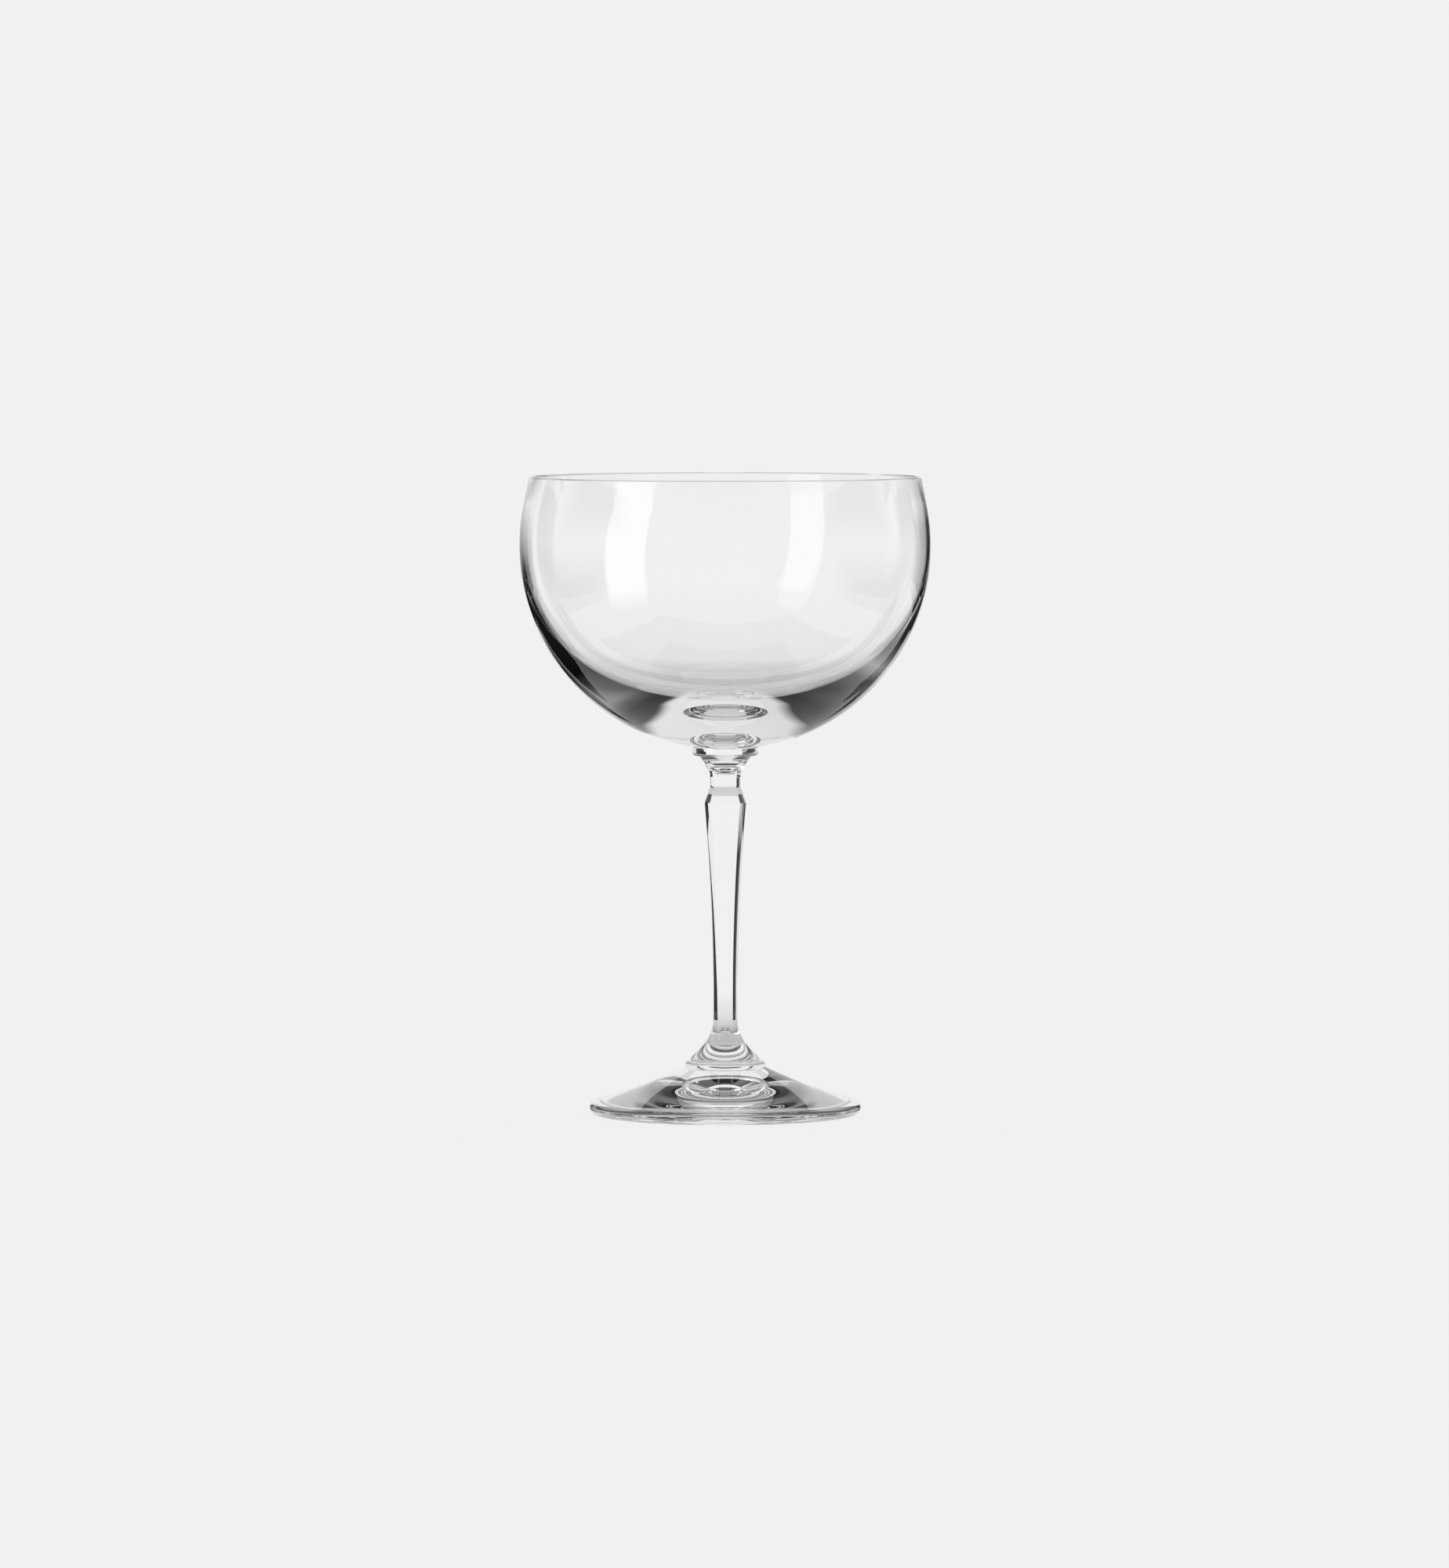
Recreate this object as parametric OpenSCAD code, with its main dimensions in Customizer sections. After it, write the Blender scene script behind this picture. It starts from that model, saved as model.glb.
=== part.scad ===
// Coupe glass: a deep round bowl on a short faceted stem with a knop.
// Five pieces of clear glass stand in one column and meet on flat weld faces:
// foot, lower collar, stem, upper collar and bowl.
// The origin is on the table, on the axis of the glass, and +Z is up.

/* [Foot] */
// Diameter of the foot
foot_d = 65.2; // [54:0.1:80]
// Height of the foot, from the table to the lower collar
foot_h = 11.3; // [9:0.1:15]
// Radius of the rounded edge of the foot
foot_edge_r = 1.5; // [1.1:0.1:2]
// Radius of the hollow sweep on top of the foot
foot_sweep_r = 150; // [90:1:300]
// Width of the flat ring that the glass stands on
foot_ring_w = 1.8; // [1:0.1:3]
// Depth of the dome under the foot
foot_dome_h = 4.2; // [1:0.1:5.2]

/* [Lower collar] */
// Diameter of the lower collar
lower_collar_d = 19.2; // [17.6:0.1:24]
// Thickness of the lower collar
lower_collar_h = 1.65; // [1.3:0.05:2.5]
// Radius of the lower collar's upper edge
lower_collar_edge_r = 0.9; // [0.3:0.05:1]

/* [Stem] */
// Length of the stem between the collars
stem_h = 73.4; // [60:0.1:100]
// Diameter of the round base of the stem
stem_base_d = 17; // [14:0.1:17.4]
// Height of the upright edge of the base
stem_base_edge_h = 0.55; // [0.4:0.05:1]
// Radius of the lower edge of the base
stem_base_edge_r = 0.35; // [0.1:0.05:0.4]
// Slope of the cone above the base, from the axis
stem_base_angle = 45; // [40:1:50]
// Radius of the hollow between the cone and the shaft
stem_base_cove_r = 5.6; // [4:0.1:8]
// Diameter of the round top of the stem
stem_top_d = 13; // [11:0.1:14]
// Radius of the hollow below the round top
stem_top_cove_r = 4.7; // [3.6:0.1:6]
// Number of broad flats round the stem, with a corner flat between each two
stem_flats = 4; // [4:1:4]
// Width across the broad flats at the thin end of the shaft
shaft_w = 5.86; // [5:0.02:6.2]
// Width across the broad flats at the knop
knop_w = 10; // [8.6:0.02:10.4]
// Width across the broad flats at the neck
neck_w = 7.28; // [6.6:0.02:7.8]
// Width across the corner flats at the thin end of the shaft
shaft_corner_w = 6.68; // [6.4:0.02:7.4]
// Width across the corner flats at the knop
knop_corner_w = 12.08; // [11:0.02:13]
// Width across the corner flats at the neck
neck_corner_w = 8.88; // [8.2:0.02:9.4]
// Depth of glass taken off the round blank at a corner flat
corner_flat_depth = 0.16; // [0.05:0.01:0.3]
// Height above the base where the flats start to run out
flat_end_h = 9.35; // [8.6:0.05:12]
// Height above the base where the shaft starts to widen
shaft_widen_h = 15; // [13:0.1:30]
// Depth below the top of the edge of the knop
knop_drop = 11.05; // [10:0.05:16]
// Depth below the top of the lower end of the neck
neck_low_drop = 7.5; // [6.6:0.05:8.5]
// Depth below the top of the upper end of the neck
neck_high_drop = 5.05; // [4.6:0.05:5.6]
// Radius of the run-out at the lower end of the flats
low_run_out_r = 6.2; // [5:0.1:9]
// Radius of the run-out at the upper end of the flats
high_run_out_r = 3; // [2.6:0.1:4]

/* [Upper collar] */
// Diameter of the upper collar
upper_collar_d = 15.9; // [15:0.1:20]
// Thickness of the upper collar
upper_collar_h = 2; // [1.5:0.05:3]
// Radius of the upper collar's lower edge
upper_collar_edge_r = 0.9; // [0.3:0.05:1]

/* [Bowl] */
// Largest outside diameter of the bowl
bowl_d = 99; // [80:0.5:120]
// Height of the rim above the widest part of the bowl
rim_rise = 16.3; // [14:0.1:24]
// Height above the widest part where the curve runs out into a straight lip
lip_rise = 10.2; // [6:0.1:11]
// Thickness of the wall and of the round rim
rim_wall = 1; // [0.8:0.05:2]
// Thickness of the glass at the bottom of the bowl
bowl_floor = 7.4; // [5:0.1:12]
// Angle below the widest part where the wall starts to thicken
thicken_angle = 2; // [1:0.5:4]

/* [Hidden] */
$fn = 180;
clear_glass = [0.9, 0.92, 0.93, 0.45];
right_angle = 90;

// Levels of the weld faces, from the table up
lower_collar_z = foot_h;
stem_z = lower_collar_z + lower_collar_h;
upper_collar_z = stem_z + stem_h;
bowl_seat_z = upper_collar_z + upper_collar_h;

// Bowl: a sphere with its lower cap cut flat for the upper collar
bowl_r = bowl_d / 2;
cavity_r = bowl_r - rim_wall;
bowl_seat_r = upper_collar_d / 2;
bowl_centre_z = bowl_seat_z + sqrt(pow(bowl_r, 2) - pow(bowl_seat_r, 2));
lip_angle = asin(lip_rise / bowl_r);
rim_r = rim_wall / 2;
lip_middle = (lip_rise + rim_rise) / 2;

// Neighbouring curves of the bowl cross by this much where they meet
meeting_cut_share = 0.03;
meeting_cut = meeting_cut_share * rim_wall;
rim_bead_r = rim_r + meeting_cut;
lip_run = (rim_rise - rim_bead_r - (bowl_r - meeting_cut - rim_r) * sin(lip_angle)) / cos(lip_angle);

// Cavity: its side wall turns into a wide corner, and the corner into a shallow dish
cavity_depth = bowl_r - bowl_floor;
cavity_corner_share = 0.965;
corner_r = cavity_corner_share * cavity_depth;
corner_x = (cavity_r - corner_r) * cos(thicken_angle);
corner_y = -(cavity_r - corner_r) * sin(thicken_angle);
corner_to_floor = cavity_depth + corner_y;
dish_r = (pow(corner_x, 2) + pow(corner_to_floor, 2) - pow(corner_r, 2)) / (2 * (corner_to_floor - corner_r));
dish_y = dish_r - cavity_depth;
dish_edge_x = dish_r * corner_x / (dish_r - corner_r);

// Foot: centre of the rounded edge, and of the sweep that touches it
foot_edge_x = foot_d / 2 - foot_edge_r;
foot_seat_r = lower_collar_d / 2;
sweep_span = [foot_edge_x - foot_seat_r, foot_edge_r - foot_h];
sweep_chord = norm(sweep_span);
sweep_along = (pow(sweep_chord, 2) - pow(foot_edge_r, 2) - 2 * foot_sweep_r * foot_edge_r) / (2 * sweep_chord);
sweep_off = sqrt(pow(foot_sweep_r, 2) - pow(sweep_along, 2));
sweep_unit = sweep_span / sweep_chord;
sweep_centre = [
    foot_seat_r + sweep_along * sweep_unit.x - sweep_off * sweep_unit.y,
    foot_h + sweep_along * sweep_unit.y + sweep_off * sweep_unit.x
];
edge_centre = [foot_edge_x, foot_edge_r];
sweep_end = edge_centre + (sweep_centre - edge_centre) * foot_edge_r / (foot_sweep_r + foot_edge_r);
foot_ring_r = foot_edge_x - foot_ring_w;
foot_dome_r = (pow(foot_ring_r, 2) + pow(foot_dome_h, 2)) / (2 * foot_dome_h);

// Stem: the round blank from which the flats are cut, measured from its own base
knop_h = stem_h - knop_drop;
neck_low_h = stem_h - neck_low_drop;
neck_high_h = stem_h - neck_high_drop;
blank_shaft_r = shaft_corner_w / 2 + corner_flat_depth;
blank_knop_r = knop_corner_w / 2 + corner_flat_depth;
blank_neck_r = neck_corner_w / 2 + corner_flat_depth;
base_r = stem_base_d / 2;
top_r = stem_top_d / 2;
base_cove_end_r = blank_shaft_r + stem_base_cove_r * (1 - cos(stem_base_angle));
base_cone_top_h = stem_base_edge_h + (base_r - base_cove_end_r) / tan(stem_base_angle);
base_cove_h = base_cone_top_h + stem_base_cove_r * sin(stem_base_angle);
top_cove_x = blank_neck_r + stem_top_cove_r;
top_cove_h = stem_h - sqrt(pow(stem_top_cove_r, 2) - pow(top_cove_x - top_r, 2));
cut_reach = 2 * stem_base_d;

// Radius of the hollow line of the shaft, upright where it starts and meeting the knop's edge
function shaft_line_r(low_r, knop_r) =
    (pow(knop_h - shaft_widen_h, 2) + pow(knop_r - low_r, 2)) / (2 * (knop_r - low_r));

// A disc in the plane of its profile, with its outer edge rounded at the top
module rounded_disc_2d(r, h, edge_r) {
    square([r - edge_r, h]);
    square([r, h - edge_r]);
    translate([r - edge_r, h - edge_r])
        intersection() {
            circle(edge_r);
            square(edge_r);
        }
}

// What lies outside the hollow shaft, the knop and the neck, up to the cutting reach
module outside_waist_2d(low_r, knop_r, neck_r, low_h, high_h) {
    line_r = shaft_line_r(low_r, knop_r);
    cone_foot_h = knop_h - knop_r * (neck_low_h - knop_h) / (knop_r - neck_r);
    translate([low_r, low_h])
        square([cut_reach - low_r, shaft_widen_h - low_h]);
    intersection() {
        translate([low_r + line_r, shaft_widen_h])
            circle(line_r, $fn = 2 * $fn);
        translate([0, (low_h + shaft_widen_h) / 2])
            square([cut_reach, neck_low_h - (low_h + shaft_widen_h) / 2]);
    }
    polygon([
        [2 * knop_r, cone_foot_h],
        [neck_r, neck_low_h],
        [neck_r, high_h],
        [cut_reach, high_h],
        [cut_reach, cone_foot_h]
    ]);
}

// One flat's cutter, with round run-outs at both ends
module flat_cutter_2d(low_r, knop_r, neck_r) {
    outside_waist_2d(low_r, knop_r, neck_r, flat_end_h, neck_high_h);
    translate([low_r + low_run_out_r, flat_end_h])
        circle(low_run_out_r);
    translate([neck_r + high_run_out_r, neck_high_h])
        circle(high_run_out_r);
}

module flat_cutters(across, knop_across, neck_across, turn) {
    for (i = [0 : stem_flats - 1])
        rotate([0, 0, turn + i * 360 / stem_flats])
            rotate([90, 0, 0])
                linear_extrude(height = cut_reach, center = true)
                    flat_cutter_2d(across / 2, knop_across / 2, neck_across / 2);
}

// Round blank: base with a cone and a cove, hollow shaft, knop, neck and a cove up to the round top
module stem_blank_2d() {
    difference() {
        polygon([
            [0, 0],
            [base_r, 0],
            [base_r, stem_base_edge_h],
            [base_cove_end_r, base_cone_top_h],
            [base_cove_end_r, base_cove_h],
            [base_r, base_cove_h],
            [base_r, top_cove_h],
            [top_r, top_cove_h],
            [top_r, stem_h],
            [0, stem_h]
        ]);
        translate([base_r - stem_base_edge_r, 0])
            difference() {
                square(stem_base_edge_r);
                translate([0, stem_base_edge_r])
                    circle(stem_base_edge_r);
            }
        translate([blank_shaft_r + stem_base_cove_r, base_cove_h])
            circle(stem_base_cove_r);
        outside_waist_2d(blank_shaft_r, blank_knop_r, blank_neck_r, base_cove_h, top_cove_h);
        translate([top_cove_x, top_cove_h])
            circle(stem_top_cove_r);
    }
}

// Everything inside a surface of the bowl, from a ray below its widest part up to the end of the straight lip
module side_2d(r, low_ray, run) {
    lip_foot = (r - meeting_cut) * [cos(lip_angle), sin(lip_angle)];
    lip_top = lip_foot + run * [-sin(lip_angle), cos(lip_angle)];
    intersection() {
        circle(r);
        polygon([
            [0, 0],
            bowl_d * [cos(low_ray), -sin(low_ray)],
            [bowl_d, lip_middle],
            [0, lip_middle]
        ]);
    }
    polygon([
        [0, -lip_rise],
        lip_foot,
        lip_top,
        [0, lip_top.y - lip_top.x * tan(lip_angle)]
    ]);
}

module cavity_2d() {
    side_2d(cavity_r, thicken_angle, lip_run + rim_wall);
    translate([corner_x, corner_y])
        circle(corner_r + meeting_cut);
    intersection() {
        translate([0, dish_y])
            circle(dish_r);
        translate([0, -bowl_r])
            square([dish_edge_x, bowl_r]);
    }
}

module bowl_wall_2d() {
    difference() {
        side_2d(bowl_r, right_angle, lip_run);
        cavity_2d();
        translate([0, -bowl_d])
            square([bowl_d, bowl_d - (bowl_centre_z - bowl_seat_z)]);
    }
    rotate(lip_angle)
        translate([cavity_r + rim_r - meeting_cut, lip_run])
            circle(rim_bead_r);
}

module foot() {
    color(clear_glass)
        rotate_extrude()
            difference() {
                union() {
                    difference() {
                        polygon([
                            [0, 0],
                            [foot_edge_x, 0],
                            sweep_end,
                            [foot_seat_r, foot_h],
                            [0, foot_h]
                        ]);
                        translate(sweep_centre)
                            circle(foot_sweep_r, $fn = 4 * $fn);
                    }
                    translate(edge_centre)
                        circle(foot_edge_r);
                }
                translate([0, foot_dome_h - foot_dome_r])
                    circle(foot_dome_r, $fn = 4 * $fn);
            }
}

module lower_collar() {
    color(clear_glass)
        translate([0, 0, lower_collar_z])
            rotate_extrude()
                rounded_disc_2d(lower_collar_d / 2, lower_collar_h, lower_collar_edge_r);
}

module stem() {
    color(clear_glass)
        translate([0, 0, stem_z])
            difference() {
                rotate_extrude()
                    stem_blank_2d();
                flat_cutters(shaft_w, knop_w, neck_w, 0);
                flat_cutters(shaft_corner_w, knop_corner_w, neck_corner_w, 180 / stem_flats);
            }
}

module upper_collar() {
    color(clear_glass)
        translate([0, 0, upper_collar_z])
            rotate_extrude()
                translate([0, upper_collar_h])
                    mirror([0, 1])
                        rounded_disc_2d(upper_collar_d / 2, upper_collar_h, upper_collar_edge_r);
}

module bowl() {
    color(clear_glass)
        translate([0, 0, bowl_centre_z])
            rotate_extrude()
                bowl_wall_2d();
}

foot();
lower_collar();
stem();
upper_collar();
bowl();
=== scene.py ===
"""Coupe glass: four turned pieces and one cut stem of clear glass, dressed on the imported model."""
import math

import bpy
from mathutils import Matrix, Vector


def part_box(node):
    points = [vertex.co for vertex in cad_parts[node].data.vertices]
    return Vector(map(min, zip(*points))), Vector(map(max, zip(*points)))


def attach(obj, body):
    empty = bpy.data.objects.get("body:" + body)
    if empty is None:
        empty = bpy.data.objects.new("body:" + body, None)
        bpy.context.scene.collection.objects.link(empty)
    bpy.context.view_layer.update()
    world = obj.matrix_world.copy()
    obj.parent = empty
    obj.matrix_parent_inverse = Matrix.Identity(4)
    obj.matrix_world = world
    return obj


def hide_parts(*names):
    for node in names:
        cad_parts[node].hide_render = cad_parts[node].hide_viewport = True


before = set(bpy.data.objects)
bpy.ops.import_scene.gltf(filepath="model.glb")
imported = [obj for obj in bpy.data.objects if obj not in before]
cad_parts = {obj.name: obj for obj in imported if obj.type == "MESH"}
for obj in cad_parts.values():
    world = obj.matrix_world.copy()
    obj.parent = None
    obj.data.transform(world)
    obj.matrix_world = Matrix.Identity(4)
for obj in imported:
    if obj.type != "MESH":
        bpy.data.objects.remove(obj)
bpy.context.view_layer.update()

MM = 0.001


def reach(node):
    """Outer radius, bottom and top of a turned node."""
    low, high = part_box(node)
    return high.x, low.z, high.z


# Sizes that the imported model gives
foot_r, _, foot_seat_z = reach("foot")
lower_collar_r, lower_collar_z, stem_z = reach("lower_collar")
stem_base_r, _, upper_collar_z = reach("stem")
upper_collar_r, _, bowl_seat_z = reach("upper_collar")
bowl_r, _, _ = reach("bowl")
stem_h = upper_collar_z - stem_z

# Foot
foot_edge_r = 1.5 * MM
foot_sweep_r = 150 * MM
foot_ring_w = 1.8 * MM
foot_dome_h = 4.2 * MM

# Collars
collar_edge_r = 0.9 * MM

# Stem: round base and top
base_edge_h = 0.55 * MM
base_edge_r = 0.35 * MM
base_angle = math.radians(45)
base_cove_r = 5.6 * MM
stem_top_r = 6.5 * MM
top_cove_r = 4.7 * MM

# Stem: half widths across the broad flats and the corner flats, at the shaft, the knop and the neck
broad_half = {"shaft": 2.93 * MM, "knop": 5 * MM, "neck": 3.64 * MM}
corner_half = {"shaft": 3.34 * MM, "knop": 6.04 * MM, "neck": 4.44 * MM}
corner_flat_depth = 0.16 * MM
blank_r = {place: half + corner_flat_depth for place, half in corner_half.items()}

# Stem: levels above its base, and the run-outs of the flats
flat_end_h = 9.35 * MM
shaft_widen_h = 15 * MM
knop_h = stem_h - 11.05 * MM
neck_low_h = stem_h - 7.5 * MM
neck_high_h = stem_h - 5.05 * MM
low_run_out_r = 6.2 * MM
high_run_out_r = 3 * MM
cut_edge_round = 0.14 * MM
corner_crown = 0.5

# Bowl
lip_rise = 10.2 * MM
rim_rise = 16.3 * MM
rim_wall = 1 * MM
bowl_floor = 7.4 * MM
thicken_angle = math.radians(2)
cavity_corner_share = 0.965

# Meshes: steps along the curves of each profile
foot_steps = {"dome": 40, "edge": 20, "sweep": 48}
collar_steps = 16
stem_steps = {"edge": 8, "cone": 40, "cove": 60, "shaft": 80, "knop": 24, "neck": 12}
bowl_steps = {"outside": 110, "rim": 14, "wall": 20, "corner": 90, "dish": 40}

# Meshes: columns round each turned piece and in an eighth of the stem, and how edges are treated
turned_columns = {"foot": 224, "lower_collar": 128, "upper_collar": 128, "bowl": 256}
stem_flats = 4
stem_flat_columns = 3
stem_edge_columns = 8
MERGE_GAP = 0.002 * MM
SHARP_ANGLE = math.radians(24)
EDGE_CROWD = 2.0

# Glass
GLASS_IOR = 1.52
CLEAR_TINT = (1.0, 1.0, 1.0, 1.0)
FAINT_TINT = (0.985, 0.99, 0.988, 1.0)
FILM_SCALE = 60.0
WAVE_DEPTH = 0.01 * MM
PRESSED_WAVE = {"Wave Scale": 90.0, "Stretch": 0.5}
BLOWN_WAVE = {"Wave Scale": 30.0, "Stretch": 0.6}

# Painted light and shade in the glass: a glow, grey by place in mm on an axis, that stands in for light
# which runs on in thick glass after the renderer stops following it
GLOSSY_LIMIT = 4
BOUNCE_LIMIT = 12
BOWL_PAINTED_LIGHT = {
    "X": {
        -46: 0.03, -31: 0.01, -28: 0.08, -20: 0.2, -14: 0.2, -11: 0.06, -8: 0.005, -5.2: 0.02, -4.2: 0.8,
        0: 0.8, 3.8: 0.72, 5.2: 0.02, 8: 0.005, 12: 0.03, 18: 0.05, 28: 0.25, 34: 1.0, 38: 0.4, 42: 0.08,
    },
    "Y": {10: 0.35, 16: 1.0},
}
RIM_PAINTED_GLOW = {125: 0.0, 145: 0.55}
FOOT_PAINTED_LIGHT = {
    "X": {-10: 0.4, -4: 0.3, 0: 0.2, 4: 0.3, 10: 0.4},
    "Y": {19: 1.0, 20.5: 0.8, 23: 0.3, 30: 0.2},
    "Z": {0: 0.35, 3: 0.4, 4.2: 1.0, 7.4: 1.0, 8.2: 0.2, 10: 0.2, 16: 1.0},
}

# Studio: greys of the paper, the cards and the room
PALE = 0.88
FLAG_BLACK = 0.003
FLOOR_GREY = 0.12
FLOOR_GLOW = 0.817
# Painted shadow under the foot: the floor's glow there
UNDER_FOOT_SHADOW_GLOW = 0.45
# Painted shade round the foot, seen only through the glass: grey by distance from the axis in mm
SHADE_RING_GREYS = {33: 0.12, 50: 0.45, 80: 0.6, 250: 0.68, 360: 0.87}
LIGHT_RADIANCE = 2.2
ROOM_LIGHT = 0.6

# Studio: places in metres
FLOOR_HALF = 6.0
# Painted shadow under the foot: where it fades out, in metres from the axis
UNDER_FOOT_SHADOW_EDGE = (0.022, 0.032)
# Ring of painted shade round the foot: radii, height and steps
SHADE_RING_INNER_R, SHADE_RING_OUTER_R, SHADE_RING_Z = 0.0328, 0.36, 0.001
SHADE_RING_STEPS = 36
BACK_Y, NEAR_Y = 0.2, 0.1
SIDE_X, SIDE_HALF, SIDE_TOP = 0.3, 0.18, 0.13
SIDE_END_FADE = (0.06, 0.18)
SIDE_TOP_FADE = (0.04, 0.13)
LIGHT_DISTANCE, LIGHT_TOP = 0.25, 0.33
LIGHT_LOW_FADE = (-0.02, 0.03)
LIGHT_HIGH_FADE = (0.35, 0.3)

# Camera
CAMERA_LENS = 214.07
CAMERA_SENSOR = 36
CAMERA_PLACE = (-0.0002, -2.24, 0.204)
CAMERA_DOWN = math.radians(3.18)


def arc(centre, radius, start, end, steps):
    """Points of an arc in the plane of a profile, angles in radians from the outward direction."""
    return [
        (
            centre[0] + radius * math.cos(start + (end - start) * i / steps),
            centre[1] + radius * math.sin(start + (end - start) * i / steps),
        )
        for i in range(steps + 1)
    ]


def line(start, end, steps):
    """Points of a straight run of a profile."""
    return [
        (start[0] + (end[0] - start[0]) * i / steps, start[1] + (end[1] - start[1]) * i / steps)
        for i in range(steps + 1)
    ]


def foot_profile():
    """Shallow dome, standing ring, round edge and hollow sweep up to the seat of the lower collar."""
    edge = (foot_r - foot_edge_r, foot_edge_r)
    ring_r = edge[0] - foot_ring_w
    dome_r = (ring_r**2 + foot_dome_h**2) / (2 * foot_dome_h)
    dome_half = math.asin(ring_r / dome_r)
    span = (edge[0] - lower_collar_r, edge[1] - foot_seat_z)
    chord = math.hypot(*span)
    along = (chord**2 - foot_edge_r**2 - 2 * foot_sweep_r * foot_edge_r) / (2 * chord)
    off = math.sqrt(foot_sweep_r**2 - along**2)
    unit = (span[0] / chord, span[1] / chord)
    sweep = (
        lower_collar_r + along * unit[0] - off * unit[1],
        foot_seat_z + along * unit[1] + off * unit[0],
    )
    meet = math.atan2(sweep[1] - edge[1], sweep[0] - edge[0])
    seat = math.atan2(foot_seat_z - sweep[1], lower_collar_r - sweep[0])
    return (
        arc((0, foot_dome_h - dome_r), dome_r, math.pi / 2, math.pi / 2 - dome_half, foot_steps["dome"])
        + arc(edge, foot_edge_r, -math.pi / 2, meet, foot_steps["edge"])
        + arc(sweep, foot_sweep_r, meet - math.pi, seat, foot_steps["sweep"])[1:]
        + [(0, foot_seat_z)]
    )


def lower_collar_profile():
    """Low disc with a round upper edge."""
    edge = (lower_collar_r - collar_edge_r, stem_z - collar_edge_r)
    return (
        [(0, lower_collar_z), (lower_collar_r, lower_collar_z)]
        + arc(edge, collar_edge_r, 0, math.pi / 2, collar_steps)
        + [(stem_base_r - base_edge_r, stem_z), (0, stem_z)]
    )


def upper_collar_profile():
    """Small disc with a round lower edge."""
    edge = (upper_collar_r - collar_edge_r, upper_collar_z + collar_edge_r)
    return (
        [(0, upper_collar_z), (stem_top_r, upper_collar_z)]
        + arc(edge, collar_edge_r, -math.pi / 2, 0, collar_steps)
        + [(upper_collar_r, bowl_seat_z), (0, bowl_seat_z)]
    )


def bowl_profile():
    """Sphere, straight lip, round rim, and the cavity: wall, wide corner and shallow dish."""
    centre_z = bowl_seat_z + math.sqrt(bowl_r**2 - upper_collar_r**2)
    centre = (0, centre_z)
    seat = math.atan2(bowl_seat_z - centre_z, upper_collar_r)
    lip = math.asin(lip_rise / bowl_r)
    lip_run = (rim_rise - rim_wall / 2 - (bowl_r - rim_wall / 2) * math.sin(lip)) / math.cos(lip)
    cavity_r = bowl_r - rim_wall
    rim = (
        (bowl_r - rim_wall / 2) * math.cos(lip) - lip_run * math.sin(lip),
        centre_z + (bowl_r - rim_wall / 2) * math.sin(lip) + lip_run * math.cos(lip),
    )
    depth = bowl_r - bowl_floor
    corner_r = cavity_corner_share * depth
    corner = (
        (cavity_r - corner_r) * math.cos(thicken_angle),
        centre_z - (cavity_r - corner_r) * math.sin(thicken_angle),
    )
    to_floor = depth + corner[1] - centre_z
    dish_r = (corner[0] ** 2 + to_floor**2 - corner_r**2) / (2 * (to_floor - corner_r))
    dish_z = centre_z + dish_r - depth
    dish = math.atan2(corner[1] - dish_z, corner[0])
    return (
        [(0, bowl_seat_z)]
        + arc(centre, bowl_r, seat, lip, bowl_steps["outside"])
        + arc(rim, rim_wall / 2, lip, lip + math.pi, bowl_steps["rim"])
        + arc(centre, cavity_r, lip, -thicken_angle, bowl_steps["wall"])
        + arc(corner, corner_r, -thicken_angle, dish, bowl_steps["corner"])[1:]
        + arc((0, dish_z), dish_r, dish, -math.pi / 2, bowl_steps["dish"])[1:]
    )


def waist(half, h):
    """Half width of the hollow shaft, the knop and the neck at a height above the stem's base."""
    rise = knop_h - shaft_widen_h
    widen = half["knop"] - half["shaft"]
    line_r = (rise**2 + widen**2) / (2 * widen)
    up = max(h - shaft_widen_h, 0)
    shaft = half["shaft"] + line_r - math.sqrt(line_r**2 - min(up, line_r) ** 2)
    slope = (half["knop"] - half["neck"]) / (neck_low_h - knop_h)
    neck = max(half["knop"] - slope * (h - knop_h), half["neck"])
    return min(shaft, neck)


def flat_line(half, h):
    """Distance of a flat from the axis, with its round run-outs; out of reach where it cuts nothing."""
    below, above = flat_end_h - h, h - neck_high_h
    if below >= low_run_out_r or above >= high_run_out_r:
        return 2 * stem_base_r
    if below > 0:
        return half["shaft"] + low_run_out_r - math.sqrt(low_run_out_r**2 - below**2)
    if above > 0:
        return half["neck"] + high_run_out_r - math.sqrt(high_run_out_r**2 - above**2)
    return waist(half, h)


def stem_profile():
    """Round blank of the stem, from the middle of its base up to the middle of its top."""
    cove_end_r = blank_r["shaft"] + base_cove_r * (1 - math.cos(base_angle))
    cone_top_h = base_edge_h + (stem_base_r - cove_end_r) / math.tan(base_angle)
    base_cove = (blank_r["shaft"] + base_cove_r, cone_top_h + base_cove_r * math.sin(base_angle))
    top_x = blank_r["neck"] + top_cove_r
    top_cove = (top_x, stem_h - math.sqrt(top_cove_r**2 - (top_x - stem_top_r) ** 2))
    top_end = math.pi - math.atan2(stem_h - top_cove[1], top_x - stem_top_r)
    edge = (stem_base_r - base_edge_r, base_edge_r)

    def between(low, high, part):
        return [low + (high - low) * i / stem_steps[part] for i in range(1, stem_steps[part] + 1)]

    levels = between(base_cove[1], knop_h, "shaft") + between(knop_h, neck_low_h, "knop")
    levels += between(neck_low_h, top_cove[1], "neck")[:-1]
    points = (
        [(0, 0)]
        + arc(edge, base_edge_r, -math.pi / 2, 0, stem_steps["edge"])
        + line((stem_base_r, base_edge_h), (cove_end_r, cone_top_h), stem_steps["cone"])
        + arc(base_cove, base_cove_r, math.pi + base_angle, math.pi, stem_steps["cove"])[1:]
        + [(waist(blank_r, h), h) for h in levels]
        + arc(top_cove, top_cove_r, math.pi, top_end, stem_steps["cove"])
        + [(0, stem_h)]
    )
    return [(r, stem_z + h) for r, h in points]


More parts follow.
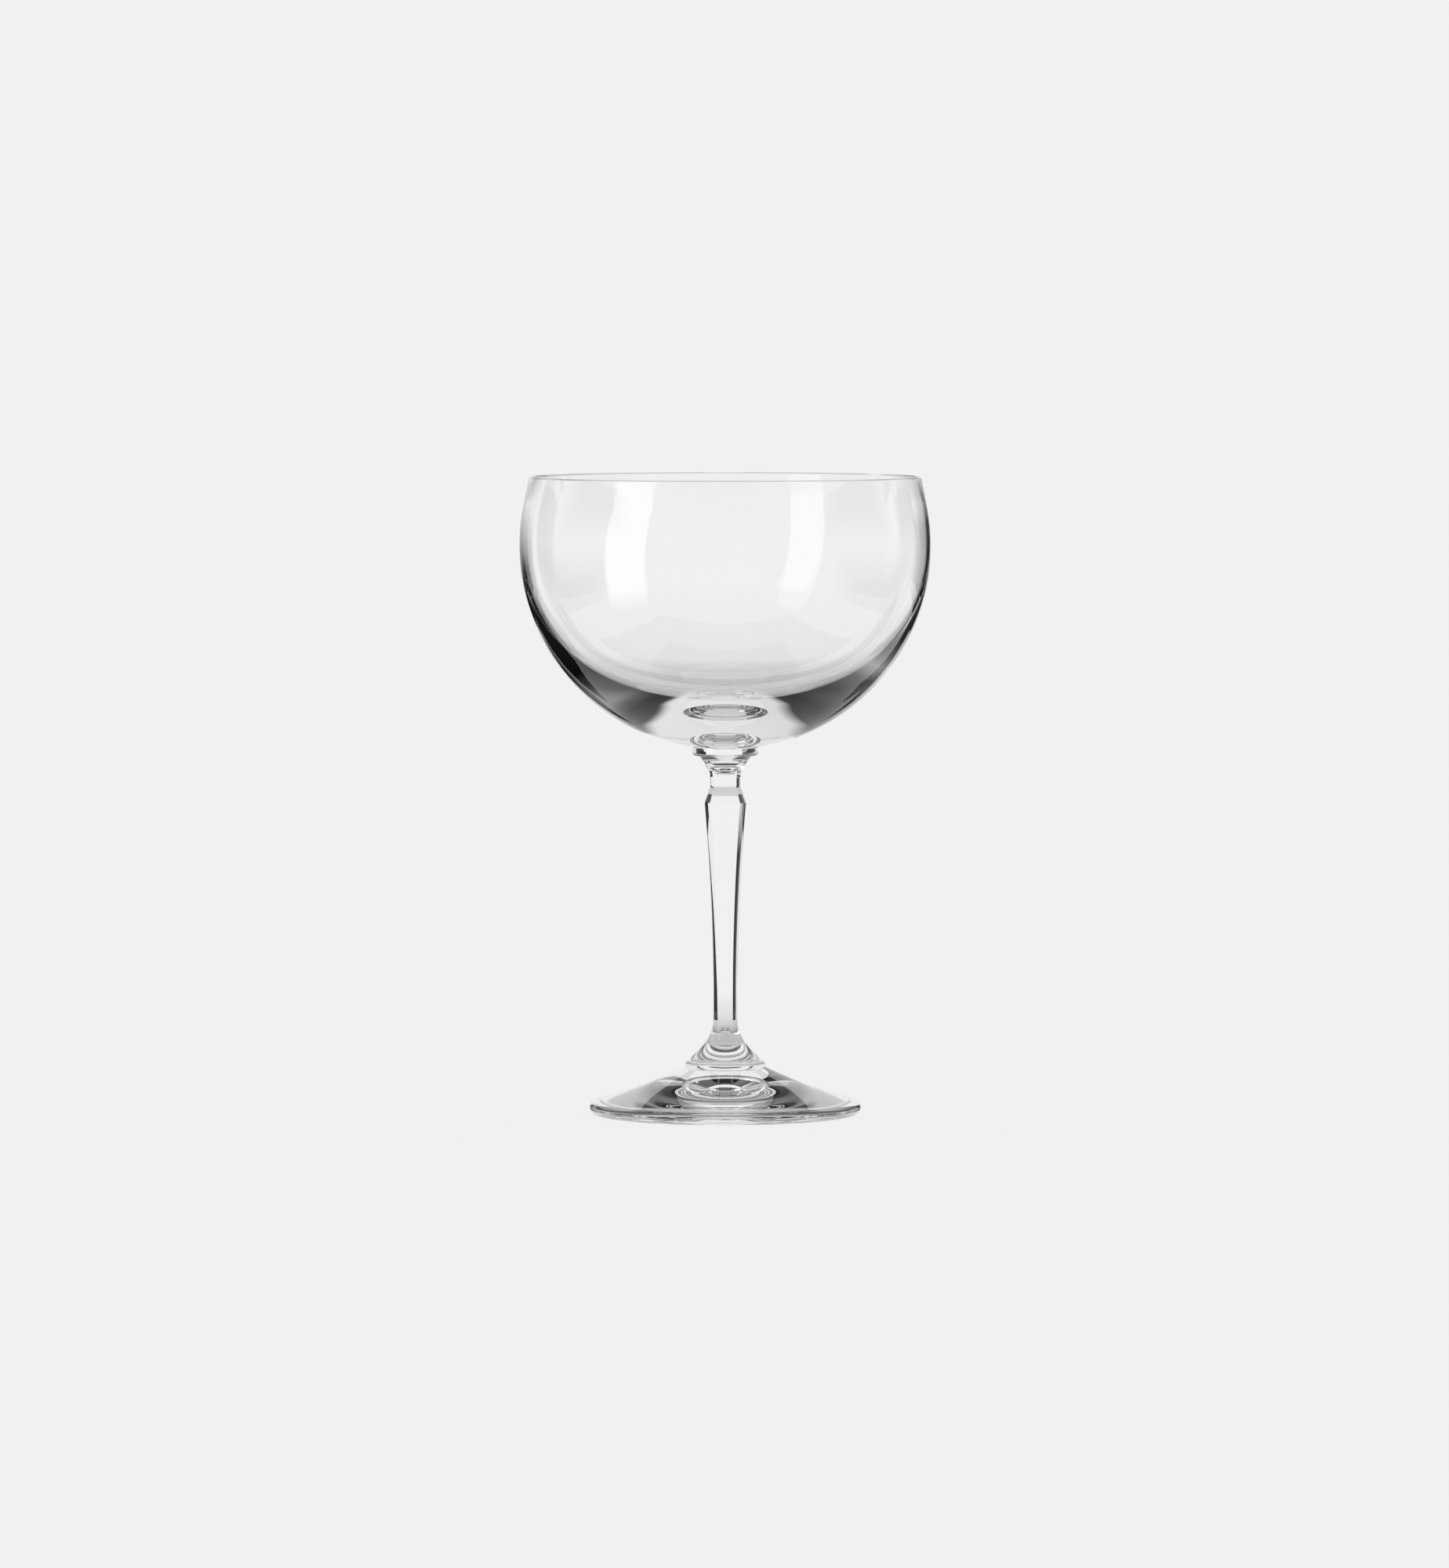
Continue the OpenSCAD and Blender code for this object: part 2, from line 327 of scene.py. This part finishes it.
class Field:
    """A value in a node tree that can be written in a formula; each step is one Math node."""

    def __init__(self, tree, socket):
        self.tree = tree
        self.socket = socket

    def math(self, operation, *others):
        node = self.tree.nodes.new("ShaderNodeMath")
        node.operation = operation
        for slot, value in zip(node.inputs, (self, *others)):
            feed(self.tree, slot, value)
        return Field(self.tree, node.outputs[0])

    def __add__(self, other):
        return self.math("ADD", other)

    def __sub__(self, other):
        return self.math("SUBTRACT", other)

    def __mul__(self, other):
        return self.math("MULTIPLY", other)

    def __truediv__(self, other):
        return self.math("DIVIDE", other)


def feed(tree, slot, value):
    """Links a field or a socket to a slot, or sets a plain value on it."""
    if isinstance(value, Field):
        value = value.socket
    if isinstance(value, bpy.types.NodeSocket):
        tree.links.new(value, slot)
    else:
        slot.default_value = value


def add(tree, kind, values=None, **settings):
    """A node of a kind, with its settings and with values for its slots by name or number."""
    node = tree.nodes.new(kind)
    for name, value in settings.items():
        setattr(node, name, value)
    for slot, value in (values or {}).items():
        feed(tree, node.inputs[slot], value)
    return node


def spread(tree, value, low, high, top):
    """A field that runs from 0 to top while value runs from low to high, and stays there."""
    node = add(tree, "ShaderNodeMapRange", {0: value, 1: low, 2: high, 3: 0.0, 4: top})
    return Field(tree, node.outputs[0])


def new_tree(name, sizes):
    """An empty geometry tree with a profile, named sizes and two materials as inputs."""
    tree = bpy.data.node_groups.new(name, "GeometryNodeTree")
    make = tree.interface.new_socket
    make("Profile", in_out="INPUT", socket_type="NodeSocketGeometry")
    for size, kind in sizes.items():
        make(size, in_out="INPUT", socket_type="NodeSocket" + kind)
    make("Glass", in_out="INPUT", socket_type="NodeSocketMaterial")
    make("Weld", in_out="INPUT", socket_type="NodeSocketMaterial")
    make("Piece", in_out="OUTPUT", socket_type="NodeSocketGeometry")
    given = tree.nodes.new("NodeGroupInput")
    return tree, given.outputs


WELD_SIZES = {
    "Bottom Weld Level": "Float",
    "Bottom Weld Radius": "Float",
    "Top Weld Level": "Float",
    "Top Weld Radius": "Float",
}


def profile_grid(tree, given, columns):
    """A flat grid with a row for each profile point, and its row and column fields."""
    count = add(tree, "GeometryNodeAttributeDomainSize", {0: given["Profile"]}).outputs["Point Count"]
    rows = Field(tree, count)
    grid = add(
        tree,
        "GeometryNodeMeshGrid",
        {"Size X": columns, "Size Y": rows - 1.0, "Vertices X": columns + 1.0, "Vertices Y": rows},
    )
    place = add(tree, "ShaderNodeSeparateXYZ", {0: add(tree, "GeometryNodeInputPosition").outputs[0]})
    column = (Field(tree, place.outputs["X"]) + columns / 2.0).math("ROUND")
    row = (Field(tree, place.outputs["Y"]) + (rows - 1.0) / 2.0).math("ROUND")
    return grid.outputs["Mesh"], row, column


def at_row(tree, given, row, value):
    """What a value of the profile is at a row's point."""
    kind = "FLOAT_VECTOR" if value.type == "VECTOR" else "FLOAT"
    sample = add(
        tree,
        "GeometryNodeSampleIndex",
        {"Geometry": given["Profile"], "Value": value, "Index": row},
        data_type=kind,
        domain="POINT",
    )
    return sample.outputs["Value"]


def wrap_round(tree, given, mesh, radius, height, angle):
    """Bends the grid into a closed piece and gives it its glass, with see-through weld faces."""
    spot = add(
        tree,
        "ShaderNodeCombineXYZ",
        {0: radius * angle.math("COSINE"), 1: radius * angle.math("SINE"), 2: height},
    )
    bent = add(tree, "GeometryNodeSetPosition", {"Geometry": mesh, "Position": spot.outputs[0]})
    closed = add(
        tree, "GeometryNodeMergeByDistance", {"Geometry": bent.outputs[0], "Distance": MERGE_GAP}
    )
    smooth = add(tree, "GeometryNodeSetShadeSmooth", {"Geometry": closed.outputs[0]})
    corner = add(tree, "GeometryNodeInputMeshEdgeAngle").outputs["Unsigned Angle"]
    sharp = add(
        tree,
        "GeometryNodeStoreNamedAttribute",
        {
            "Geometry": smooth.outputs[0],
            "Name": "sharp_edge",
            "Value": Field(tree, corner).math("GREATER_THAN", SHARP_ANGLE),
        },
        data_type="BOOLEAN",
        domain="EDGE",
    )
    whole = add(tree, "GeometryNodeRealizeInstances", {"Geometry": sharp.outputs[0]})
    glass = add(
        tree, "GeometryNodeSetMaterial", {"Geometry": whole.outputs[0], "Material": given["Glass"]}
    )
    weld = add(
        tree,
        "GeometryNodeSetMaterial",
        {
            "Geometry": glass.outputs[0],
            "Selection": weld_faces(tree, given),
            "Material": given["Weld"],
        },
    )
    add(tree, "NodeGroupOutput", {0: weld.outputs[0]})


def weld_faces(tree, given):
    """True on the faces that lie against a neighbour."""
    place = add(tree, "ShaderNodeSeparateXYZ", {0: add(tree, "GeometryNodeInputPosition").outputs[0]})
    x, y, z = (Field(tree, place.outputs[axis]) for axis in "XYZ")
    radius = (x * x + y * y).math("SQRT")

    def disc(end):
        level = Field(tree, given[end + " Weld Level"])
        inside = radius.math("LESS_THAN", given[end + " Weld Radius"])
        return z.math("COMPARE", level, MERGE_GAP) * inside

    return disc("Bottom") + disc("Top")


def turned_tree():
    """A profile turned round the axis."""
    tree, given = new_tree("turned_glass", {"Columns": "Int", **WELD_SIZES})
    columns = Field(tree, given["Columns"]) * 1.0
    mesh, row, column = profile_grid(tree, given, columns)
    point = at_row(tree, given, row, add(tree, "GeometryNodeInputPosition").outputs[0])
    place = add(tree, "ShaderNodeSeparateXYZ", {0: point})
    angle = column / columns * (2 * math.pi)
    wrap_round(tree, given, mesh, Field(tree, place.outputs["X"]), place.outputs["Z"], angle)
    return tree


def cut_tree():
    """A round blank with broad flats and corner flats cut on it, and their edges a little rounded.

    An eighth of the round runs from the middle of a broad flat to the middle of a corner flat. Its
    columns crowd where the flats end, so that the cut edges follow the mesh.
    """
    sizes = {
        "Flats": "Int",
        "Flat Columns": "Int",
        "Edge Columns": "Int",
        "Edge Round": "Float",
        "Corner Crown": "Float",
    }
    tree, given = new_tree("cut_glass", {**sizes, **WELD_SIZES})
    flats = Field(tree, given["Flats"]) * 1.0
    flat_columns = Field(tree, given["Flat Columns"]) * 1.0
    edge_columns = Field(tree, given["Edge Columns"]) * 1.0
    eighth = flat_columns * 2.0 + edge_columns
    mesh, row, column = profile_grid(tree, given, eighth * flats * 2.0)
    point = at_row(tree, given, row, add(tree, "GeometryNodeInputPosition").outputs[0])
    place = add(tree, "ShaderNodeSeparateXYZ", {0: point})
    blank = Field(tree, place.outputs["X"])

    def line_of(name):
        named = add(tree, "GeometryNodeInputNamedAttribute", {"Name": name}, data_type="FLOAT")
        return Field(tree, at_row(tree, given, row, named.outputs["Attribute"]))

    broad, corner = line_of("broad_flat"), line_of("corner_flat")
    to_corner = flats.math("POWER", -1.0) * math.pi

    def end_of(flat):
        return (flat / blank.math("MAXIMUM", MERGE_GAP)).math("MINIMUM", 1.0).math("ARCCOSINE")

    across = corner / broad - to_corner.math("COSINE")
    meeting = across.math("ARCTAN2", to_corner.math("SINE"))
    broad_end = end_of(broad).math("MINIMUM", meeting).math("MAXIMUM", 0.0)
    corner_end = (to_corner - end_of(corner)).math("MAXIMUM", meeting).math("MINIMUM", to_corner)
    crowd = Field(tree, given["Edge Round"]) * EDGE_CROWD / blank.math("MAXIMUM", MERGE_GAP)
    edge_start = (broad_end - crowd).math("MAXIMUM", broad_end * 0.5)
    edge_stop = (corner_end + crowd).math("MINIMUM", (corner_end + to_corner) * 0.5)

    step = (column / eighth).math("PINGPONG", 1.0) * eighth
    turn = (
        spread(tree, step, 0.0, flat_columns, edge_start)
        + spread(tree, step, flat_columns, flat_columns + edge_columns, edge_stop - edge_start)
        + spread(tree, step, flat_columns + edge_columns, eighth, to_corner - edge_stop)
    )
    crowned = (to_corner - turn) * (Field(tree, given["Corner Crown"]) * -1.0 + 1.0)
    cut = (broad / turn.math("COSINE")).math(
        "SMOOTH_MIN", corner / crowned.math("COSINE"), given["Edge Round"]
    )
    radius = blank.math("SMOOTH_MIN", cut, given["Edge Round"]).math("MINIMUM", blank)
    side = (column / eighth / 2.0 + 0.5).math("FLOOR")
    ahead = (column / eighth - side * 2.0).math("SIGN")
    angle = side * to_corner * 2.0 + ahead * turn
    wrap_round(tree, given, mesh, radius, place.outputs["Z"], angle)
    return tree


def flow_group():
    """Faint unevenness that worked glass keeps: slow waves, with a trace of tint."""
    tree = bpy.data.node_groups.new("glass_flow", "ShaderNodeTree")
    make = tree.interface.new_socket
    make("Wave Scale", in_out="INPUT", socket_type="NodeSocketFloat")
    make("Stretch", in_out="INPUT", socket_type="NodeSocketFloat")
    make("Tint", in_out="OUTPUT", socket_type="NodeSocketColor")
    make("Wave", in_out="OUTPUT", socket_type="NodeSocketFloat")
    given = tree.nodes.new("NodeGroupInput").outputs
    place = add(tree, "ShaderNodeTexCoord").outputs["Object"]
    drawn = add(tree, "ShaderNodeCombineXYZ", {0: 1.0, 1: 1.0, 2: given["Stretch"]})
    pulled = add(tree, "ShaderNodeVectorMath", {0: place, 1: drawn.outputs[0]}, operation="MULTIPLY")
    wave = add(
        tree,
        "ShaderNodeTexNoise",
        {"Vector": pulled.outputs[0], "Scale": given["Wave Scale"], "Detail": 1.0, "Roughness": 0.4},
    )
    film = add(tree, "ShaderNodeTexNoise", {"Vector": place, "Scale": FILM_SCALE, "Detail": 3.0})
    tint = add(
        tree, "ShaderNodeMix", {0: film.outputs[0], 6: CLEAR_TINT, 7: FAINT_TINT}, data_type="RGBA"
    )
    add(tree, "NodeGroupOutput", {0: tint.outputs[2], 1: wave.outputs[0]})
    return tree


def grey_ramp(tree, value, stops):
    """A field that follows stops of grey at places in mm."""
    low, high = min(stops), max(stops)
    along = add(tree, "ShaderNodeMapRange", {0: value, 1: low * MM, 2: high * MM})
    ramp = add(tree, "ShaderNodeValToRGB", {0: along.outputs[0]})
    elements = ramp.color_ramp.elements
    while len(elements) > 1:
        elements.remove(elements[-1])
    for i, (at, grey) in enumerate(stops.items()):
        share = (at - low) / (high - low)
        element = elements[0] if i == 0 else elements.new(share)
        element.position = share
        element.color = (grey, grey, grey, 1)
    return Field(tree, ramp.outputs[0])


def object_place(tree):
    """Outputs X, Y and Z of a point in the object's own coordinates."""
    spot = add(tree, "ShaderNodeTexCoord").outputs["Object"]
    return add(tree, "ShaderNodeSeparateXYZ", {0: spot}).outputs


def from_axis(tree, place):
    """Distance from the axis of the glass."""
    x, y = Field(tree, place["X"]), Field(tree, place["Y"])
    return (x * x + y * y).math("SQRT")


def painted_glass_glow(tree, shades, glow):
    """Strength of a painted glow of light and shade, grey by place, in paths at the renderer's bounce
    limits, and zero in all others.
    """
    path = add(tree, "ShaderNodeLightPath").outputs
    bounced = Field(tree, path["Glossy Depth"]).math("GREATER_THAN", GLOSSY_LIMIT + 0.5)
    ended = Field(tree, path["Ray Depth"]).math("GREATER_THAN", BOUNCE_LIMIT + 0.5)
    place = object_place(tree)
    light = grey_ramp(tree, place["X"], shades["X"])
    for axis in "YZ":
        if axis in shades:
            light = light * grey_ramp(tree, place[axis], shades[axis])
    if glow:
        light = light.math("MAXIMUM", grey_ramp(tree, place["Z"], glow))
    return light * bounced.math("MAXIMUM", ended)


def glass_material(name, flow, waves, painted_light, glow=None):
    """Clear glass whose surface waves a little, with a painted glow of light and shade by place in paths at
    the renderer's bounce limits.
    """
    material = bpy.data.materials.new(name)
    material.use_nodes = True
    tree = material.node_tree
    shader = tree.nodes["Principled BSDF"]
    uneven = add(tree, "ShaderNodeGroup", waves, node_tree=flow).outputs
    bump = add(tree, "ShaderNodeBump", {"Strength": 1.0, "Distance": WAVE_DEPTH, "Height": uneven["Wave"]})
    values = {
        "Base Color": uneven["Tint"],
        "Roughness": 0.0,
        "Normal": bump.outputs[0],
        "IOR": GLASS_IOR,
        "Transmission Weight": 1.0,
        "Emission Color": (1.0, 1.0, 1.0, 1.0),
        "Emission Strength": painted_glass_glow(tree, painted_light, glow),
    }
    for slot, value in values.items():
        feed(tree, shader.inputs[slot], value)
    return material


def weld_material():
    """Faces where two pieces are fused: no surface is left there."""
    material = bpy.data.materials.new("fused_face")
    material.use_nodes = True
    material.node_tree.nodes["Principled BSDF"].inputs["Alpha"].default_value = 0.0
    return material


def weld_sizes(bottom=(0.0, 0.0), top=(0.0, 0.0)):
    """Level and radius of the weld face at each end, under the names of a tree's inputs."""
    return dict(zip(WELD_SIZES, (*bottom, *top)))


def make_piece(name, node, points, tree, sizes, glass, lines=None):
    """Runs a tree on a profile and puts the plain mesh in a node's place."""
    wire = bpy.data.meshes.new(name + "_profile")
    wire.from_pydata([(r, 0, z) for r, z in points], [(i, i + 1) for i in range(len(points) - 1)], [])
    for line_name, values in (lines or {}).items():
        wire.attributes.new(line_name, "FLOAT", "POINT").data.foreach_set("value", values)
    source = bpy.data.objects.new(name + "_profile", wire)
    bpy.context.scene.collection.objects.link(source)
    modifier = source.modifiers.new(name, "NODES")
    modifier.node_group = tree
    values = {**sizes, "Glass": glass, "Weld": weld}
    for item in tree.interface.items_tree:
        if item.in_out == "INPUT" and item.name in values:
            modifier[item.identifier] = values[item.name]
    done = source.evaluated_get(bpy.context.evaluated_depsgraph_get())
    mesh = bpy.data.meshes.new_from_object(done)
    mesh.materials.pop(index=list(mesh.materials).index(None))
    bpy.data.objects.remove(source)
    mesh.name = name
    piece = bpy.data.objects.new(name, mesh)
    bpy.context.scene.collection.objects.link(piece)
    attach(piece, "root")
    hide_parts(node)
    return piece


def turned_piece(node, points, glass, **welds):
    """A turned piece in a node's place, with the weld faces at its ends."""
    sizes = {"Columns": turned_columns[node], **weld_sizes(**welds)}
    return make_piece(node + "_glass", node, points, turned, sizes, glass)


def stage_piece(name, corners, material):
    """A flat card of the studio."""
    mesh = bpy.data.meshes.new(name)
    mesh.from_pydata(corners, [], [tuple(range(len(corners)))])
    mesh.materials.append(material)
    card = bpy.data.objects.new(name, mesh)
    bpy.context.scene.collection.objects.link(card)
    return card


def card_material(name, grey=0.0):
    """A matt card that glows; returns the material, its tree, the glow's socket and the X, Y, Z outputs."""
    material = bpy.data.materials.new(name)
    material.use_nodes = True
    tree = material.node_tree
    shader = tree.nodes["Principled BSDF"]
    shader.inputs["Base Color"].default_value = (grey, grey, grey, 1)
    shader.inputs["Roughness"].default_value = 1.0
    shader.inputs["Specular IOR Level"].default_value = 0.0
    shader.inputs["Emission Color"].default_value = (1, 1, 1, 1)
    return material, tree, shader.inputs["Emission Strength"], object_place(tree)


def floor_material():
    """Pale paper that glows evenly, with a painted shadow under the foot where it glows less, and takes a
    faint shadow.
    """
    material, tree, glow, place = card_material("pale_floor", FLOOR_GREY)
    out = spread(tree, from_axis(tree, place), *UNDER_FOOT_SHADOW_EDGE, FLOOR_GLOW - UNDER_FOOT_SHADOW_GLOW)
    feed(tree, glow, out + UNDER_FOOT_SHADOW_GLOW)
    return material


def flag_material(name, edges, outer, fade):
    """Black card that is grey beyond its outer edge, and pale towards its top."""
    material, tree, glow, place = card_material(name)
    side = spread(tree, Field(tree, place["X"]).math("ABSOLUTE"), *edges, outer)
    top = spread(tree, place["Z"], *fade, PALE)
    feed(tree, glow, side.math("MAXIMUM", top) + FLAG_BLACK)
    return material


def black_material(name):
    """Card that is black all over."""
    material, _, glow, _ = card_material(name)
    glow.default_value = FLAG_BLACK
    return material


def side_material(name):
    """Black card that turns pale softly all round; pale too for light straight through the glass."""
    material, tree, glow, place = card_material(name)
    ends = spread(tree, Field(tree, place["Y"]).math("ABSOLUTE"), *SIDE_END_FADE, PALE)
    top = spread(tree, place["Z"], *SIDE_TOP_FADE, PALE)
    mirrored = Field(tree, add(tree, "ShaderNodeLightPath").outputs["Glossy Depth"])
    through = mirrored.math("LESS_THAN", 0.5) * PALE
    feed(tree, glow, ends.math("MAXIMUM", top).math("MAXIMUM", through) + FLAG_BLACK)
    return material


def table_material(name):
    """Painted shade: a grey ring round the foot, darkest next to it, that turns into the pale floor."""
    material, tree, glow, place = card_material(name)
    feed(tree, glow, grey_ramp(tree, from_axis(tree, place), SHADE_RING_GREYS))
    return material


def light_material(name):
    """Diffuser of a soft light, weaker towards its ends."""
    material, tree, glow, place = card_material(name)
    low = spread(tree, place["Z"], *LIGHT_LOW_FADE, 1.0)
    high = spread(tree, place["Z"], *LIGHT_HIGH_FADE, 1.0)
    feed(tree, glow, low * high * LIGHT_RADIANCE)
    return material


def upright(y, *corners):
    """Corners of a card that faces the camera, given by x and z."""
    return [(x, y, z) for x, z in corners]


def sideways(x):
    """Corners of a card beside the glass."""
    return [(x, -SIDE_HALF, 0), (x, SIDE_HALF, 0), (x, SIDE_HALF, SIDE_TOP), (x, -SIDE_HALF, SIDE_TOP)]


def spot(azimuth, z):
    """A corner of the light; azimuth in degrees from +Y towards +X."""
    turn = math.radians(azimuth)
    return (LIGHT_DISTANCE * math.sin(turn), LIGHT_DISTANCE * math.cos(turn), z)


def table_ring():
    """A flat ring as one outline with a seam."""
    turns = [2 * math.pi * i / SHADE_RING_STEPS for i in range(SHADE_RING_STEPS + 1)]
    out = [(SHADE_RING_OUTER_R, turn) for turn in turns]
    back = [(SHADE_RING_INNER_R, turn) for turn in reversed(turns)]
    return [(r * math.cos(turn), r * math.sin(turn), SHADE_RING_Z) for r, turn in out + back]


# The five pieces
flow = flow_group()
# Both glasses carry painted light and shade: a glow by place in paths at the bounce limits
pressed_glass = glass_material("clear_pressed_glass", flow, PRESSED_WAVE, FOOT_PAINTED_LIGHT)
blown_glass = glass_material("clear_blown_glass", flow, BLOWN_WAVE, BOWL_PAINTED_LIGHT, RIM_PAINTED_GLOW)
weld = weld_material()
turned = turned_tree()
cut = cut_tree()

foot_weld = (foot_seat_z, lower_collar_r)
base_weld = (stem_z, stem_base_r - base_edge_r)
neck_weld = (upper_collar_z, stem_top_r)
bowl_weld = (bowl_seat_z, upper_collar_r)

foot = turned_piece("foot", foot_profile(), pressed_glass, top=foot_weld)
lower_collar = turned_piece(
    "lower_collar",
    lower_collar_profile(),
    pressed_glass,
    bottom=(lower_collar_z, lower_collar_r),
    top=base_weld,
)
upper_collar = turned_piece(
    "upper_collar", upper_collar_profile(), pressed_glass, bottom=neck_weld, top=bowl_weld
)
bowl = turned_piece("bowl", bowl_profile(), blown_glass, bottom=bowl_weld)
blank = stem_profile()
stem = make_piece(
    "stem_glass",
    "stem",
    blank,
    cut,
    {
        "Flats": stem_flats,
        "Flat Columns": stem_flat_columns,
        "Edge Columns": stem_edge_columns,
        "Edge Round": cut_edge_round,
        "Corner Crown": corner_crown,
        **weld_sizes(base_weld, neck_weld),
    },
    pressed_glass,
    {
        "broad_flat": [flat_line(broad_half, z - stem_z) for _, z in blank],
        "corner_flat": [flat_line(corner_half, z - stem_z) for _, z in blank],
    },
)

# The studio: floor, cards that only the glass sees, and one soft light at the left
near, far = -FLOOR_HALF, FLOOR_HALF
stage_piece("floor", [(near, near, 0), (far, near, 0), (far, far, 0), (near, far, 0)], floor_material())

low_left = flag_material("low_left", (0.09, 0.102), 0.13, (0.068, 0.095))
low_right = flag_material("low_right", (0.122, 0.14), 0.2, (0.066, 0.085))
high_left = flag_material("high_left", (0.19, 0.24), 0.4, (0.11, 0.165))
high_right = flag_material("high_right", (0.22, 0.27), 0.2, (0.145, 0.19))
black = black_material("black")
side = side_material("side")
CARDS = {
    "flag_left_low": (
        upright(BACK_Y, (-0.066, 0), (-0.112, 0), (-0.112, 0.09), (-0.076, 0.09)),
        low_left,
    ),
    "flag_left_high": (
        upright(
            BACK_Y,
            (-0.1, 0.082),
            (-0.16, 0.07),
            (-0.24, 0.07),
            (-0.24, 0.165),
            (-0.078, 0.165),
            (-0.078, 0.1),
        ),
        high_left,
    ),
    "flag_left_near": (
        upright(NEAR_Y, (-0.08, 0.025), (-0.14, 0.025), (-0.14, 0.1), (-0.08, 0.1)),
        black,
    ),
    "flag_right_low": (
        upright(BACK_Y, (0.07, 0), (0.13, 0), (0.13, 0.078), (0.118, 0.078), (0.113, 0.06)),
        low_right,
    ),
    "flag_right_high": (
        upright(BACK_Y, (0.095, 0.084), (0.15, 0.07), (0.27, 0.065), (0.27, 0.19), (0.095, 0.19)),
        high_right,
    ),
    "flag_right_near": (
        upright(NEAR_Y, (0.08, 0.025), (0.105, 0.025), (0.105, 0.1), (0.08, 0.1)),
        black,
    ),
    "flag_left_side": (sideways(-SIDE_X), side),
    "flag_right_side": (sideways(SIDE_X), side),
    "card_top_low": (upright(0.35, (-0.3, 0.215), (0.3, 0.215), (0.3, 0.3), (-0.3, 0.3)), black),
    "card_top_high": ([(-0.2, 0.25, 0.33), (0.2, 0.25, 0.33), (0.2, -0.1, 0.45), (-0.2, -0.1, 0.45)], black),
    # Ring of painted shade round the foot
    "table": (table_ring(), table_material("table")),
    "light_left": (
        [spot(-112, 0), spot(-136, 0), spot(-143, LIGHT_TOP), spot(-121, LIGHT_TOP)],
        light_material("light_left"),
    ),
}
for name, (corners, material) in CARDS.items():
    card = stage_piece(name, corners, material)
    card.visible_camera = False
    card.visible_shadow = False
    card.visible_diffuse = False

world = bpy.data.worlds.new("studio")
bpy.context.scene.world = world
world.use_nodes = True
tree = world.node_tree
sky = tree.nodes["Background"]
path = add(tree, "ShaderNodeLightPath").outputs
seen = Field(tree, path["Is Camera Ray"]) + path["Is Glossy Ray"] + path["Is Transmission Ray"]
sky.inputs["Color"].default_value = (PALE, PALE, PALE, 1)
feed(tree, sky.inputs["Strength"], seen.math("MINIMUM", 1.0) * (1 - ROOM_LIGHT) + ROOM_LIGHT)

camera = bpy.data.objects.new("camera", bpy.data.cameras.new("camera"))
camera.data.lens = CAMERA_LENS
camera.data.sensor_width = CAMERA_SENSOR
camera.location = CAMERA_PLACE
camera.rotation_euler = (math.pi / 2 - CAMERA_DOWN, 0, 0)
bpy.context.scene.collection.objects.link(camera)
bpy.context.scene.camera = camera
bpy.context.scene.view_settings.view_transform = "Standard"
